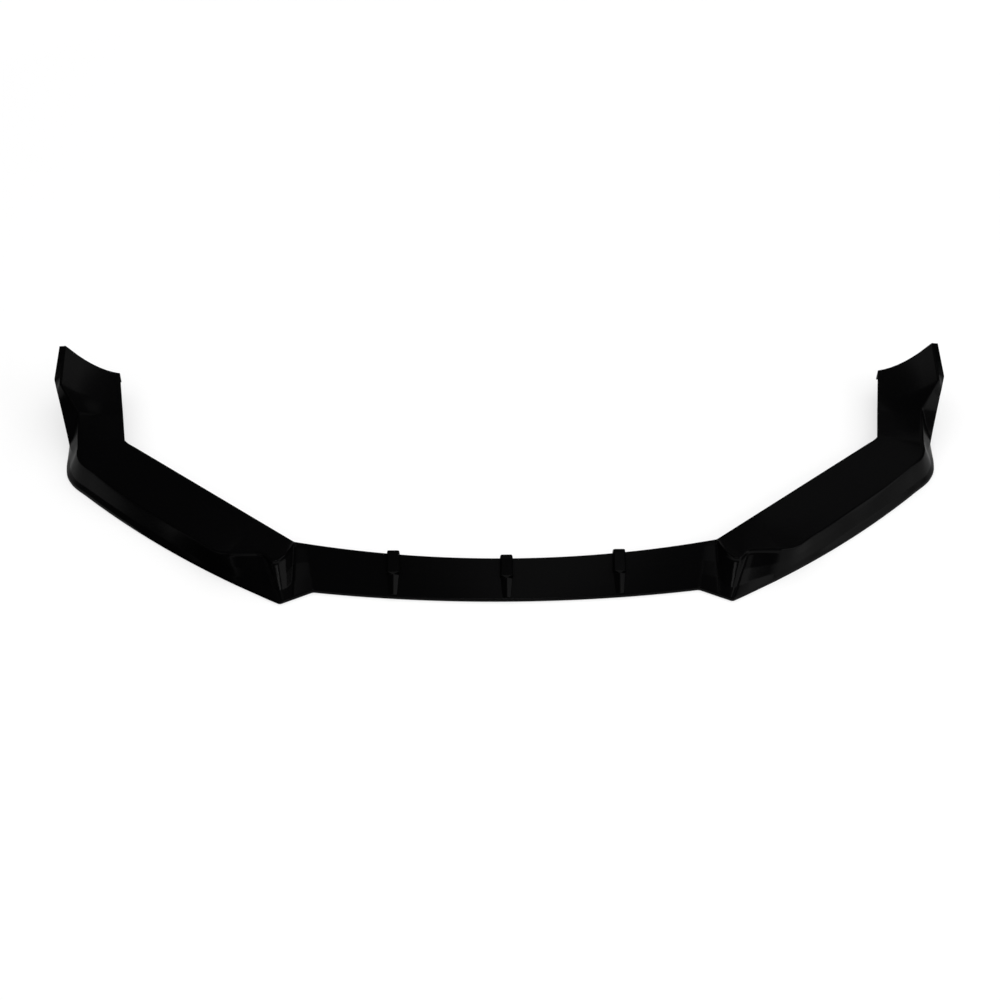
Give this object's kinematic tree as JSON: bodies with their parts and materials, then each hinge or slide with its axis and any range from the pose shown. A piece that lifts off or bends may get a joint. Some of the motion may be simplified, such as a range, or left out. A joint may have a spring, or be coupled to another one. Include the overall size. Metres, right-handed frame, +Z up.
{
  "type": "front splitter lip",
  "caption": "Wide black moulded lip that follows the lower edge of a car's front bumper and wraps round its corners, with fins, fangs and upswept ends.",
  "frame": {"origin": "middle of the footprint, on the plane of the lower flange's underside", "axes": "+X across the car, -Y to the front of the car, +Z up"},
  "size_m": [1.788, 0.587, 0.13],
  "materials": {
    "black_plastic": "satin-gloss black moulded plastic"
  },
  "bodies": {
    "root": {"splitter_lip": "black_plastic"}
  },
  "joints": []
}
